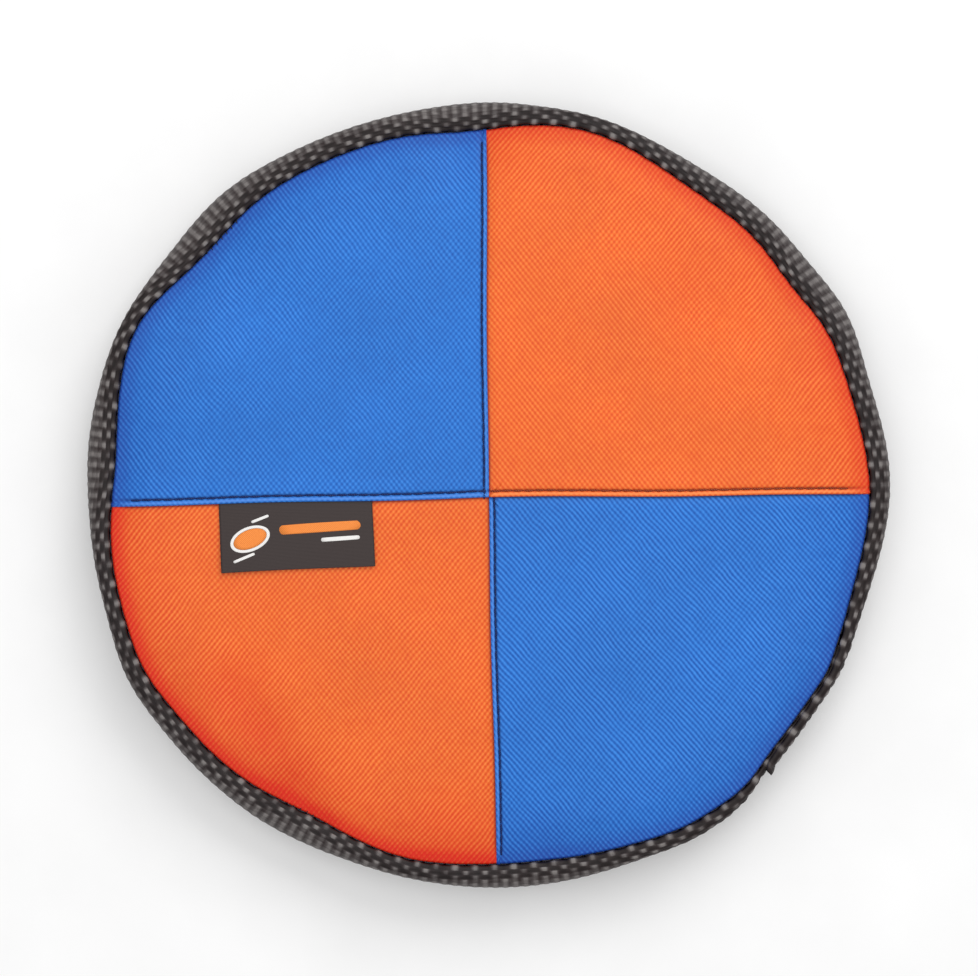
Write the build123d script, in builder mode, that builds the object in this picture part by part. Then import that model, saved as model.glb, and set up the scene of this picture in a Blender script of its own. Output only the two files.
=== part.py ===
from build123d import *
from math import asin, cos, degrees, pi, radians, sin, sqrt
import os

# Soft flying disc: four sewn fabric panels over a padding sheet and a lining, in a rim of webbing.
#
# The disc lies as on the ground, rim down and panels up. The origin is in the middle of the disc,
# at the height of the webbing's lower edge. +Z is up, +X is right and +Y is rear, so that the
# rear left and front right panels are blue and the other two are orange.
# Webbing, padding and lining run right round the disc in life. Here they are divided at x = 0,
# the fold line, so that the right half can swing up and over the left one.

# Driving dimensions, in millimetres and degrees
OUTER_DIAMETER = 240.0  # over the webbing
WEBBING_WIDTH = 25.0  # standard strap
WEBBING_THICKNESS = 1.5
SHOULDER_RADIUS = 6.4  # outside of the webbing's rolled upper edge
FABRIC_THICKNESS = 0.6  # coated panel fabric
PADDING_THICKNESS = 2.4
PADDING_INSET = 1.0  # the padding stops this far inside the lining's edge
LINING_THICKNESS = 0.5
CROWN_RISE = 2.5  # the dome's crown above its edge
EDGE_DROP = 0.5  # the panels' edge below the webbing's top
ALLOWANCE_DEPTH = 6.0  # fabric turned down inside the webbing
EDGE_GAP = 0.4  # between the turned-down fabric and the webbing
LAYER_GAP = 0.05  # between layers that lie on each other
FOLD_GAP = 0.3  # between the left and right halves
PANEL_CORNER = 1.6  # radius over which a panel turns down

THREAD_WIDTH = 0.5
THREAD_HEIGHT = 0.3
CROSS_STITCH_OFFSET = 1.9  # topstitching behind the left-right seam
SPINE_STITCH_OFFSET = 1.45  # topstitching beside the front-back seam
STITCH_END = 110.0  # topstitching ends this far from the middle
OVERLOCK_HEIGHT = 0.5  # thread over the raw edges of the allowance

JOIN_START = -43.0  # the webbing's outer end is cut here
JOIN_END = -23.0  # and laps over its inner end up to here
JOIN_BARS = (-39.5, -37.5, -28.5, -26.5)
JOIN_BAR_WIDTH = 0.9
JOIN_BAR_HEIGHT = 13.0
JOIN_BAR_MARGIN = 1.5  # above the webbing's lower edge

LABEL_WIDTH = 46.0  # woven tag, folded double at its free end
LABEL_LENGTH = 20.4
LABEL_THICKNESS = 1.0
LABEL_MIDDLE = -57.0  # the tag's middle along the left-right seam
LABEL_SEAM = -2.6  # the tag leaves the seam here
LABEL_CLEARANCE = 0.3
LABEL_FOLD_RADIUS = 0.45

LEFT, RIGHT = -1, 1
FRONT, REAR = -1, 1

# Sizes that follow from them
OUTER_RADIUS = OUTER_DIAMETER / 2
SHOULDER_CENTRE = OUTER_RADIUS - SHOULDER_RADIUS
WALL_HEIGHT = WEBBING_WIDTH - pi / 2 * (SHOULDER_RADIUS - WEBBING_THICKNESS / 2)
RIM_HEIGHT = WALL_HEIGHT + SHOULDER_RADIUS
PANEL_RADIUS = SHOULDER_CENTRE - EDGE_GAP
LINING_RADIUS = PANEL_RADIUS - FABRIC_THICKNESS - LAYER_GAP
PADDING_RADIUS = LINING_RADIUS - PADDING_INSET
CROWN = RIM_HEIGHT - EDGE_DROP + CROWN_RISE
SPHERE_RADIUS = (PANEL_RADIUS**2 + CROWN_RISE**2) / (2 * CROWN_RISE)
ALLOWANCE_END = CROWN - CROWN_RISE - ALLOWANCE_DEPTH
PADDING_DEPTH = FABRIC_THICKNESS + LAYER_GAP
LINING_DEPTH = PADDING_DEPTH + PADDING_THICKNESS + LAYER_GAP
LAP_WALL = OUTER_RADIUS + WEBBING_THICKNESS  # outer face of the lapped end
LAP_SWEEP = (WEBBING_WIDTH - WALL_HEIGHT) / (SHOULDER_RADIUS + WEBBING_THICKNESS / 2)
LABEL_SLOPE = -LABEL_MIDDLE / SPHERE_RADIUS
ENOUGH = 2 * OUTER_DIAMETER  # longer than anything it has to cut


def dome(radius, depth=0.0):
    """Height of the surface that lies `depth` below the panels' top, at a distance from the axis."""
    return CROWN - depth - SPHERE_RADIUS + sqrt(SPHERE_RADIUS**2 - radius**2)


def radial_plane(angle):
    """Upright plane through the disc's axis: local x points outwards and local y up."""
    turn = radians(angle)
    return Plane(origin=(0, 0, 0), x_dir=(cos(turn), sin(turn), 0), z_dir=(sin(turn), -cos(turn), 0))


def dome_arc(inner, outer, depth):
    """Arc of the domed surface in an upright plane, between two distances from the axis."""
    middle = (inner + outer) / 2
    ends = ((inner, dome(inner, depth)), (outer, dome(outer, depth)))
    return ThreePointArc(ends[0], (middle, dome(middle, depth)), ends[1])


def flat_layer(depth, thickness, outer):
    """Half section of a domed layer that ends in a plain edge."""
    with BuildSketch(Plane.XZ) as section:
        with BuildLine():
            dome_arc(0, outer, depth)
            Line((outer, dome(outer, depth)), (outer, dome(outer, depth + thickness)))
            dome_arc(0, outer, depth + thickness)
            Line((0, dome(0, depth + thickness)), (0, dome(0, depth)))
        make_face()
    return section.sketch


def turned_down_edge(outer, depth, corner):
    """Arc that turns the dome down into an upright edge, and the dome's arc that leads to it."""
    lean = asin((outer - corner) / (SPHERE_RADIUS - corner))
    start = SPHERE_RADIUS * sin(lean)
    drop = corner * cos(lean)
    turn = CenterArc((outer - corner, dome(start, depth) - drop), corner, 0, 90 - degrees(lean))
    dome_arc(0, start, depth)
    return turn


def turned_down_layer(depth, thickness, outer, corner):
    """Half section of a domed layer whose edge is turned down as a seam allowance."""
    inner = outer - thickness
    with BuildSketch(Plane.XZ) as section:
        with BuildLine():
            outside = turned_down_edge(outer, depth, corner)
            Line(outside @ 0, (outer, ALLOWANCE_END))
            Line((outer, ALLOWANCE_END), (inner, ALLOWANCE_END))
            inside = turned_down_edge(inner, depth + thickness, corner - thickness)
            Line(inside @ 0, (inner, ALLOWANCE_END))
            Line((0, dome(0, depth + thickness)), (0, dome(0, depth)))
        make_face()
    return section.sketch


def webbing_section(plane, wall, sweep):
    """Section of the webbing: upright wall with its outer face at `wall`, rolled inwards above."""
    roll = wall - SHOULDER_CENTRE
    bore = roll - WEBBING_THICKNESS
    turn = degrees(sweep)
    with BuildSketch(plane) as section:
        with BuildLine():
            Line((wall, 0), (wall, WALL_HEIGHT))
            outside = CenterArc((SHOULDER_CENTRE, WALL_HEIGHT), roll, 0, turn)
            inside = CenterArc((SHOULDER_CENTRE, WALL_HEIGHT), bore, 0, turn)
            Line(outside @ 1, inside @ 1)
            Line((wall - WEBBING_THICKNESS, WALL_HEIGHT), (wall - WEBBING_THICKNESS, 0))
            Line((wall - WEBBING_THICKNESS, 0), (wall, 0))
        make_face()
    return section.sketch


def block(plane, inner, outer, low, high):
    """Rectangular section between two distances from the axis and two heights."""
    with BuildSketch(plane) as section:
        with BuildLine():
            Polyline((inner, low), (outer, low), (outer, high), (inner, high), close=True)
        make_face()
    return section.sketch


def keep_half(side):
    """Cuts the part being built back to one side of the fold line."""
    fold = Plane(origin=(side * FOLD_GAP / 2, 0, 0), x_dir=(0, 1, 0), z_dir=(side, 0, 0))
    split(bisect_by=fold, keep=Keep.TOP)


def keep_end(end):
    """Cuts the part being built back to the front or the rear of the left-right seam."""
    seam = Plane(origin=(0, 0, 0), x_dir=(1, 0, 0), z_dir=(0, end, 0))
    split(bisect_by=seam, keep=Keep.TOP)


def keep_strip(start, end):
    """Cuts the part being built back to a thread's width between two points of the plan."""
    along = Vector(*end) - Vector(*start)
    turn = degrees(pi / 2) if abs(along.Y) > abs(along.X) else 0
    middle = (Vector(*start) + Vector(*end)) / 2
    with BuildSketch() as strip:
        with Locations((middle.X, middle.Y)):
            Rectangle(along.length, THREAD_WIDTH, rotation=turn)
    extrude(strip.sketch, amount=ENOUGH, mode=Mode.INTERSECT)


def save(builder, name):
    builder.part.label = name
    export_step(builder.part, f"parts/{name}.step")


os.makedirs("parts", exist_ok=True)

# Top panels: a quadrant each, meeting at the cross seams
for name, side, end in (
    ("panel_blue_left", LEFT, REAR),
    ("panel_orange_left", LEFT, FRONT),
    ("panel_orange_right", RIGHT, REAR),
    ("panel_blue_right", RIGHT, FRONT),
):
    with BuildPart() as panel:
        revolve(turned_down_layer(0, FABRIC_THICKNESS, PANEL_RADIUS, PANEL_CORNER), axis=Axis.Z)
        keep_half(side)
        keep_end(end)
    save(panel, name)

# Layers and threads that the fold line divides in two
topstitch_layer = flat_layer(-LAYER_GAP - THREAD_HEIGHT, THREAD_HEIGHT, PANEL_RADIUS - PANEL_CORNER)
for half, side in (("left", LEFT), ("right", RIGHT)):
    with BuildPart() as padding:
        revolve(flat_layer(PADDING_DEPTH, PADDING_THICKNESS, PADDING_RADIUS), axis=Axis.Z)
        keep_half(side)
    save(padding, f"padding_{half}")

    with BuildPart() as lining:
        revolve(flat_layer(LINING_DEPTH, LINING_THICKNESS, LINING_RADIUS), axis=Axis.Z)
        keep_half(side)
    save(lining, f"lining_{half}")

    # Sews the webbing's upper edge to the panels, down in the valley between them
    with BuildPart() as rim_seam:
        top = RIM_HEIGHT - WEBBING_THICKNESS + THREAD_HEIGHT
        thread = block(
            Plane.XZ,
            PANEL_RADIUS + LAYER_GAP,
            SHOULDER_CENTRE - LAYER_GAP,
            top - THREAD_WIDTH,
            top,
        )
        revolve(thread, axis=Axis.Z)
        keep_half(side)
    save(rim_seam, f"rim_seam_thread_{half}")

    # Binds the panels' raw edges
    with BuildPart() as overlock:
        low = ALLOWANCE_END - LAYER_GAP - OVERLOCK_HEIGHT
        thread = block(
            Plane.XZ,
            LINING_RADIUS - LINING_THICKNESS,
            PANEL_RADIUS,
            low,
            low + OVERLOCK_HEIGHT,
        )
        revolve(thread, axis=Axis.Z)
        keep_half(side)
    save(overlock, f"allowance_overlock_{half}")

    with BuildPart() as cross_seam:
        revolve(topstitch_layer, axis=Axis.Z)
        keep_strip((side * FOLD_GAP, CROSS_STITCH_OFFSET), (side * STITCH_END, CROSS_STITCH_OFFSET))
    save(cross_seam, f"cross_seam_thread_{half}")

# Front-back topstitching: on the left half behind the left-right seam, on the right half before it
for name, side, end in (("rear", LEFT, REAR), ("front", RIGHT, FRONT)):
    with BuildPart() as spine_seam:
        revolve(topstitch_layer, axis=Axis.Z)
        start = end * (CROSS_STITCH_OFFSET + THREAD_WIDTH)
        x = side * SPINE_STITCH_OFFSET
        keep_strip((x, start), (x, end * STITCH_END))
    save(spine_seam, f"spine_seam_thread_{name}")

# Rim webbing: one strap in life, sewn up by its rolled edge and lapped over itself at the join
with BuildPart() as webbing_left:
    revolve(webbing_section(Plane.XZ, OUTER_RADIUS, pi / 2), axis=Axis.Z)
    keep_half(LEFT)
save(webbing_left, "rim_webbing_left")

with BuildPart() as webbing_right:
    revolve(webbing_section(Plane.XZ, OUTER_RADIUS, pi / 2), axis=Axis.Z)
    keep_half(RIGHT)
    lap = webbing_section(radial_plane(JOIN_START), LAP_WALL, LAP_SWEEP)
    revolve(lap, axis=Axis.Z, revolution_arc=JOIN_END - JOIN_START)
save(webbing_right, "rim_webbing_right")

# Bar tacks through the lapped ends
with BuildPart() as join_stitches:
    for angle in JOIN_BARS:
        bar = block(
            radial_plane(angle),
            LAP_WALL + LAYER_GAP,
            LAP_WALL + LAYER_GAP + THREAD_HEIGHT,
            JOIN_BAR_MARGIN,
            JOIN_BAR_MARGIN + JOIN_BAR_HEIGHT,
        )
        revolve(bar, axis=Axis.Z, revolution_arc=degrees(JOIN_BAR_WIDTH / LAP_WALL))
save(join_stitches, "webbing_join_stitches")

# Woven label: held by its rear edge in the left-right seam, free elsewhere, and tilted with the dome
label_plane = Plane(
    origin=(LABEL_MIDDLE, LABEL_SEAM, dome(LABEL_MIDDLE) + LABEL_CLEARANCE),
    x_dir=(1, 0, LABEL_SLOPE),
    z_dir=(-LABEL_SLOPE, 0, 1),
)
with BuildPart() as tag:
    with BuildSketch(label_plane):
        Rectangle(LABEL_WIDTH, LABEL_LENGTH, align=(Align.CENTER, Align.MAX))
    extrude(amount=LABEL_THICKNESS)
    hem = tag.faces().sort_by(Axis.Y)[0].edges().filter_by(Axis.Z, reverse=True)
    fillet([edge for edge in hem if edge.length > LABEL_WIDTH / 2], LABEL_FOLD_RADIUS)
save(tag, "label")
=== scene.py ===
import math

import bpy
import numpy as np
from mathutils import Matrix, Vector


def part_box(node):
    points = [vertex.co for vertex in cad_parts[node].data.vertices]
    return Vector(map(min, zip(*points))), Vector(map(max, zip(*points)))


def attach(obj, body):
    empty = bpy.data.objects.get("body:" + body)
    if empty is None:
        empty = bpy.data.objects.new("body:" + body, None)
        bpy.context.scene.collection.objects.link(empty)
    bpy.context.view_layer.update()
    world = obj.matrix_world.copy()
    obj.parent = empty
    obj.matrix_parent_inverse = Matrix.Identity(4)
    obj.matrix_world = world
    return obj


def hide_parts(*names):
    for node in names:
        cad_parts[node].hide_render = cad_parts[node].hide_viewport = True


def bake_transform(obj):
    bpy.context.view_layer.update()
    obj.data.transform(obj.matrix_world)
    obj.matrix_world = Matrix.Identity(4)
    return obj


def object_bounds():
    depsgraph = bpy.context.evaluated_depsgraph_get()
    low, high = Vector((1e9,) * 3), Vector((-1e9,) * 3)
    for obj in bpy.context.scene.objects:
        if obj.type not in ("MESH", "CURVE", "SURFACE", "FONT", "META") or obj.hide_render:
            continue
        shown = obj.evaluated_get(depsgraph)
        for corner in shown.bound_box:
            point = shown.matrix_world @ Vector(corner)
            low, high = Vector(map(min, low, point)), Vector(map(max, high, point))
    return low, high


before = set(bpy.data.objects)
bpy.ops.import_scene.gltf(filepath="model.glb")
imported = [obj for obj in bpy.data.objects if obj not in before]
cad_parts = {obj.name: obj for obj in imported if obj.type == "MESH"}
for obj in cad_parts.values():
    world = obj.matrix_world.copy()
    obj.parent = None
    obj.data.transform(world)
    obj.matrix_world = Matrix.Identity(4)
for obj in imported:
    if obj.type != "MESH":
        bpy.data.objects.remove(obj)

# Soft flying disc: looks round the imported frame.
#
# Everything is in metres, in the frame of the CAD model: the disc lies on its rim with +Z up,
# +X to the right and +Y to the rear. Most sizes below are given in millimetres times MM.
# Four panels meet at the cross seams and go down into a valley inside the rim, where a strap of
# webbing stands on its lower edge and rolls inwards over its upper one.

CAD_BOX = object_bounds()
MM = 0.001
FULL_TURN = 2 * math.pi

# Sizes that come from the frame
OUTER_RADIUS = -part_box("rim_webbing_left")[0].x
SKIRT_END, CROWN = (corner.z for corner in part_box("panel_blue_left"))

# Rim webbing
STRAP_WIDTH = 25 * MM
STRAP_THICKNESS = 1.5 * MM
OUTLINE_INSET = 1.0 * MM  # the rim's outline, without its bulges, inside the CAD radius
RIM_WIDTH = 6.2 * MM  # the rim's width seen from above, without its changes
COLUMNS = 22  # warp yarns across the strap
YARN_PARTS = (0.0, 0.28, 0.72)  # places across each yarn: the groove beside it, and its crown
PICKS_PER_TURN = 240
ROWS_PER_PICK = 4
RELIEF = 0.28 * MM
WALL_BOW = 0.5 * MM  # the upright part bulges outwards
OVER_ROLL = math.radians(35)  # the strap rolls this far past level, down into the valley
ROLLED = math.pi / 2 + OVER_ROLL
ROLL_SHARE = 1 / (1 + math.sin(OVER_ROLL))  # outer radius of the roll, as a share of its width
GROOVE = 0.24 * MM  # between warp yarns
VALLEY = 0.15 * MM  # gap between the strap's upper edge and the panels
LAP_START = -44.4  # degrees: the strap's outer end is cut here
LAP_END = 337.0  # and its inner end is hidden here
TUCK_START, TUCK_END = 306.0, 316.0  # between these the strap dips under its own end
TUCK = 1.6 * MM
TUCK_AT_CUT = 1.2 * MM  # the strap's heat-cut end is flat, so its other layer starts less deep
LEAST_WIDTH = 2.7 * MM  # of the rim, where the strap lies double and stands upright
TUCKED_REACH = 0.6 * MM  # the hidden layer shows this far inside the outer one
TUCKED_DROP = 1.4 * MM  # and its roll lies this much lower
END_FLARE = 1.3 * MM  # the cut end stands off
END_LENGTH = 2.2  # degrees
FLAT_END = 0.9  # thickness of the heat-cut end, as a share of the strap's
FLAT_LENGTH = 5.0  # degrees
CUT_ROWS = (0, 0.05, 0.14)  # degrees: rows of points close to the cut, which round it off
CUT_ROUNDING = 0.3  # degrees

# Unevenness of the rim: (degrees round the disc, spread in degrees, millimetres). The values were
# chosen and adjusted to follow the rim's radii and widths as measured in the photograph.
OUTLINE_BULGES = (
    (3, 10, 3.4), (27, 6, 3.3), (43, 7, 1.2), (60, 8, -0.9), (82, 5, -0.5), (90, 5, 0.4), (104, 9, -0.9),
    (132, 7, 2.2), (157, 10, 2.1), (173, 6, 1.5), (188, 8, 0.4), (200, 5, -0.6), (207, 7, 2.4),
    (222, 5, 0.7), (234, 6, 0.7), (250, 5, -0.4), (258, 9, -1.1), (280, 10, 0.1), (303, 5, 2.1),
    (311, 3.5, 1.5), (328, 9, -0.8), (334, 4, 0.9), (345, 7, -0.5),
)
WIDTH_CHANGES = (
    (32, 7, 2.7), (50, 8, 1.1), (74, 9, -1.5), (92, 6, 2.6), (116, 12, 0.7), (136, 8, 3.1), (154, 6, -1.8),
    (174, 6, 2.6), (197, 9, -1.2), (222, 9, 0.3), (240, 7, 2.6), (258, 6, -0.7), (275, 8, 1.2),
    (297, 7, -1.4), (318, 9, -3.6), (331, 8, -2.2), (342, 7, -0.8), (350, 6, -0.4), (8, 5, 0.4),
)

# Panels
FABRIC = 0.4 * MM
PANEL_ROLL = 0.9 * MM  # radius over which a panel turns down into the valley
DOME_POWER = 3.2
SHOULDER_DROP = 0.55 * MM  # panel below the rolled strap, at the valley
BORDER_DIP = 0.9 * MM  # the panels sink this much over the last stretch to the valley
UNDULATION = 0.16 * MM
PUCKER = 0.11 * MM
PUCKERS = 61  # ripples round the rim seam
RIM_SLANT = 0.5  # slant of the weave's crossings beside the rim
RIM_WEAVE = 0.1  # the weave shows this much deeper beside the rim
# Soft hollows in the panels: (x, y, depth, spread) in millimetres. The cloth also gets painted shade in
# them.
DENTS = (
    (-75, -57, 0.6, 7), (-66, -70, 0.7, 6), (-58, -85, 0.7, 6), (-51, -100, 0.5, 4),
    (-13, -103, 0.4, 11), (18, -103, 0.6, 6), (60, 62, 0.4, 9), (101, 41, 0.4, 5), (1, 103, 0.4, 5),
)

# Cross seams: they meet at SEAM_MIDDLE and run to these places at the rim, in millimetres
SEAM_MIDDLE = (1.0, -0.7)
SEAM_ENDS = {"rear": (0.4, 113.0), "left": (-113.0, -3.6), "front": (3.5, -113.0), "right": (113.4, 0.3)}
STITCH_OFFSETS = {"rear": 1.45, "left": 1.9, "front": 1.5, "right": 1.8}
STITCH_PITCH = 3.26 * MM
LIP = 0.55 * MM  # the folded edge stands this high
RIDGE = 0.36 * MM  # the allowance beneath it lifts the cloth this much
STITCH_DIP = 0.34 * MM  # topstitching pulls the cloth down
STITCH_PULL = 0.07 * MM  # and each stitch puckers it
FOLD_RADIUS = 0.42 * MM
UNDER_DROP = 0.32 * MM  # the edge that runs beneath its neighbour
BORDER = 5.5 * MM  # width of the finely divided strip beside a seam
SEAM_WAVE = 0.22 * MM
SEAM_END = 110 * MM  # the topstitching stops here, short of the rim

# Label
LABEL_CORNERS = ((-80.0, -3.0), (-34.0, -2.1), (-32.8, -21.1), (-78.9, -23.5))
LABEL_LAYER = 0.22 * MM
LABEL_DOUBLE = 0.36 * MM  # from outer face to outer face: its two layers overlap a little inside
LABEL_CLEARANCE = 0.24 * MM  # beneath them
LABEL_LIFT = 0.7 * MM  # the free edge stands off
LABEL_OVER = 0.28 * MM  # the seam's upper edge rises over the label
LABEL_UNDER = 0.30 * MM  # and its lower edge sinks beneath it
LABEL_SIZE = (46.0, 20.4)  # millimetres, as seen
MARK_HEIGHT = 0.06 * MM  # above the label
MARK_TURN = np.arange(56) * FULL_TURN / 56  # the points of a mark's outline

# Threads, lining and padding
THREAD_RADIUS = 0.3 * MM
TACK_THREAD_RADIUS = 0.16 * MM
TACK_PLACES = (-39.0, -36.6, -28.5, -26.1)  # degrees round the disc
OVERLOCK_RADIUS = 0.17 * MM
OVERLOCK_LOOPS = 319
OVERLOCK_MIDDLE = (-0.55 * MM, 0.9 * MM)  # outwards from the panels' edge, and up from their end
OVERLOCK_REACH = (0.85 * MM, 1.25 * MM)  # of the loops, sideways and up
RIM_STITCHES = 217
RIM_STITCH_DEPTH = 2.1 * MM  # below the top of the rim
LINING_INSET = 2.4 * MM  # inside the panels' turned-down edge
LINING_DEPTH = FABRIC + 2.9 * MM  # below the top of the panels
LINING_ROLL = 1.4 * MM
LINING_THICKNESS = 0.35 * MM
PADDING_INSET = 5.2 * MM
PADDING_GAP = 0.35 * MM
PADDING_THICKNESS = 1.6 * MM

# Studio
FLOOR_REACH = 30.0
WORLD_LIGHT = 0.67
# Each light's name, place, size and power
SOFTBOXES = (("rear_softbox", (0.5, 1.0, 1.05), 0.9, 8.5), ("top_softbox", (-0.2, 0.1, 1.9), 1.4, 9.5))
WIDTH_SEEN = 1.231  # of the picture, as a share of the CAD box
VIEW_SHIFT = (1.19 * MM, 2.16 * MM)
FOCUS_HEIGHT = 17.5 * MM


# ---- shape functions

def smooth(low, high, x):
    """0 below low, 1 above high, and a smooth step between."""
    t = np.clip((np.asarray(x, float) - low) / (high - low), 0, 1)
    return t * t * (3 - 2 * t)


def bell(x, width):
    """1 at 0, falling off smoothly over a width to each side."""
    return np.exp(-((x / width) ** 2))


def rotated(x, y, angle):
    """x and y, turned about the origin."""
    c, s = math.cos(angle), math.sin(angle)
    return c * x - s * y, s * x + c * y


def around(radius, angle, height):
    """Points round the disc, with x, y and z along the last axis."""
    return np.stack(np.broadcast_arrays(radius * np.cos(angle), radius * np.sin(angle), height), axis=-1)


def bulges(angle, changes):
    """Sum of the rim's bulges at an angle in radians."""
    degrees = np.degrees(angle)
    total = np.zeros_like(degrees)
    for place, spread, height in changes:
        away = (degrees - place + 180) % 360 - 180
        total += height * MM * np.exp(-0.5 * (away / spread) ** 2)
    return total


def outline(angle):
    """Outer radius of the rim, seen from above."""
    return OUTER_RADIUS - OUTLINE_INSET + bulges(angle, OUTLINE_BULGES)


def rim_width(angle):
    """Width of the rim's outer layer, seen from above."""
    return np.maximum(RIM_WIDTH + bulges(angle, WIDTH_CHANGES), LEAST_WIDTH)


def lap_share(angle):
    """1 where the strap lies double, 0 elsewhere."""
    turn = np.degrees(angle) % 360
    return smooth(TUCK_START, TUCK_END, turn) * (1 - smooth(LAP_END - 1, LAP_END + 5, turn))


def total_width(angle):
    """Width of everything between the outline and the panels' edge."""
    return rim_width(angle) + TUCKED_REACH * lap_share(angle)


def wall_height(angle):
    """Height of the upright part of the strap: what its roll leaves of its width."""
    return STRAP_WIDTH - ROLLED * (rim_width(angle) * ROLL_SHARE - STRAP_THICKNESS / 2)


def rim_top(angle):
    """Height of the rolled strap's outer face."""
    return wall_height(angle) + rim_width(angle) * ROLL_SHARE


def panel_edge(angle):
    """Radius of the panels' turned-down edge."""
    return outline(angle) - total_width(angle) - VALLEY


def panel_shoulder(angle):
    """Radius where the panels start to turn down."""
    return panel_edge(angle) - PANEL_ROLL


def ripple(x, y):
    """Gentle unevenness of the sewn panels, between about -1 and 1."""
    waves = (
        np.sin(x / (19 * MM) + 1.1) * np.cos(y / (23 * MM) + 0.4)
        + 0.6 * np.sin((x + y) / (13 * MM) + 2.0)
        + 0.5 * np.cos((x - 1.4 * y) / (17 * MM) + 0.7)
    )
    return waves / 1.6


def dents(x, y):
    """Depth of the soft hollows in the panels."""
    total = np.zeros_like(x)
    for place_x, place_y, depth, spread in DENTS:
        away = np.hypot(x - place_x * MM, y - place_y * MM) / (spread * MM)
        total += depth * MM * np.exp(-0.5 * away**2)
    return total


def surface(x, y):
    """Height of the panels' top, without seams."""
    radius = np.hypot(x, y)
    angle = np.arctan2(y, x)
    share = radius / panel_shoulder(angle)
    shoulder = rim_top(angle) - SHOULDER_DROP
    height = shoulder + (CROWN - shoulder) * (1 - np.minimum(share, 1.0) ** DOME_POWER)
    height -= BORDER_DIP * smooth(0.9, 1.0, share)
    height += UNDULATION * ripple(x, y) * (1 - smooth(0.85, 1.0, share))
    height -= dents(x, y)
    rows = np.sin(PUCKERS * angle + 2.2 * np.sin(3 * angle)) * (0.7 + 0.3 * np.sin(7 * angle))
    height += PUCKER * rows * smooth(0.86, 0.985, share)
    return height


def seam_fade(share):
    """Share of a seam's relief that is left near the rim, where 1 is the panel's shoulder."""
    return 1 - 0.65 * smooth(0.955, 1.0, share)


def hand_drawn(x, y):
    """Moves a point of the plan slightly, as seams sewn by hand aren't quite straight."""
    share = np.hypot(x, y) / (OUTER_RADIUS - RIM_WIDTH)
    fade = SEAM_WAVE * (1 - np.minimum(share, 1.0) ** 4)
    moved_x = x + fade * np.sin(y / (15 * MM) + 1.3)
    moved_y = y + fade * np.sin(x / (13 * MM) + 0.4)
    return moved_x, moved_y


# ---- mesh helpers

def grid_faces(rows, columns, closed_rows=False, closed_columns=False):
    """Quads of a grid of rows x columns points, numbered row by row."""
    row, column = np.indices((rows - (not closed_rows), columns - (not closed_columns))).reshape(2, -1)
    corners = ((0, 0), (0, 1), (1, 1), (1, 0))
    return np.stack([(row + i) % rows * columns + (column + j) % columns for i, j in corners], axis=1)


def welded(points, faces):
    """Joins points at the same place, and drops faces that have lost their area."""
    keys = np.round(points / (0.001 * MM)).astype(np.int64)
    _, first, same = np.unique(keys, axis=0, return_index=True, return_inverse=True)
    same = same.ravel()
    kept = []
    for face in same[faces]:
        corners = list(dict.fromkeys(face.tolist()))
        if len(corners) > 2:
            kept.append(corners)
    return first, kept


def linked(name, data):
    """New object in the scene."""
    item = bpy.data.objects.new(name, data)
    bpy.context.scene.collection.objects.link(item)
    return item


def make_object(name, points, faces, material, values=None, thickness=None):
    """Smooth mesh object. values holds one number or vector a point, by attribute name.

    A sheet is given as its outer face and its thickness.
    """
    mesh = bpy.data.meshes.new(name)
    face_list = faces.tolist() if isinstance(faces, np.ndarray) else faces
    mesh.from_pydata(np.asarray(points, float).tolist(), [], face_list)
    for key, value in (values or {}).items():
        value = np.asarray(value, np.float32)
        kind = "FLOAT_VECTOR" if value.ndim == 2 else "FLOAT"
        attribute = mesh.attributes.new(key, kind, "POINT")
        attribute.data.foreach_set("vector" if value.ndim == 2 else "value", value.ravel())
    mesh.polygons.foreach_set("use_smooth", [True] * len(mesh.polygons))
    mesh.materials.append(material)
    mesh.update()
    piece = linked(name, mesh)
    if thickness:
        thicken(piece, thickness)
    return piece


def thicken(piece, thickness):
    """Gives a sheet its thickness, on the side away from its normals."""
    solidify = piece.modifiers.new("thickness", "SOLIDIFY")
    solidify.thickness = thickness
    solidify.offset = -1
    bpy.context.view_layer.update()
    depsgraph = bpy.context.evaluated_depsgraph_get()
    final = bpy.data.meshes.new_from_object(piece.evaluated_get(depsgraph))
    piece.modifiers.clear()
    piece.data = final


def joined_object(name, parts, material):
    """One mesh object from a list of (points, faces, values)."""
    points, faces, values, start = [], [], {}, 0
    for part_points, part_faces, part_values in parts:
        points.append(part_points)
        faces += [[corner + start for corner in face] for face in part_faces]
        for key, value in part_values.items():
            values.setdefault(key, []).append(value)
        start += len(part_points)
    values = {key: np.concatenate(value) for key, value in values.items()}
    return make_object(name, np.concatenate(points), faces, material, values)


def tube_faces(rows, columns):
    """Outward faces of a tube: rows rings of columns points, closed at both ends."""
    sides = grid_faces(rows, columns, closed_columns=True)[:, ::-1].tolist()
    last = (rows - 1) * columns
    return [*sides, list(range(columns)), list(range(last + columns - 1, last - 1, -1))]


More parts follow.
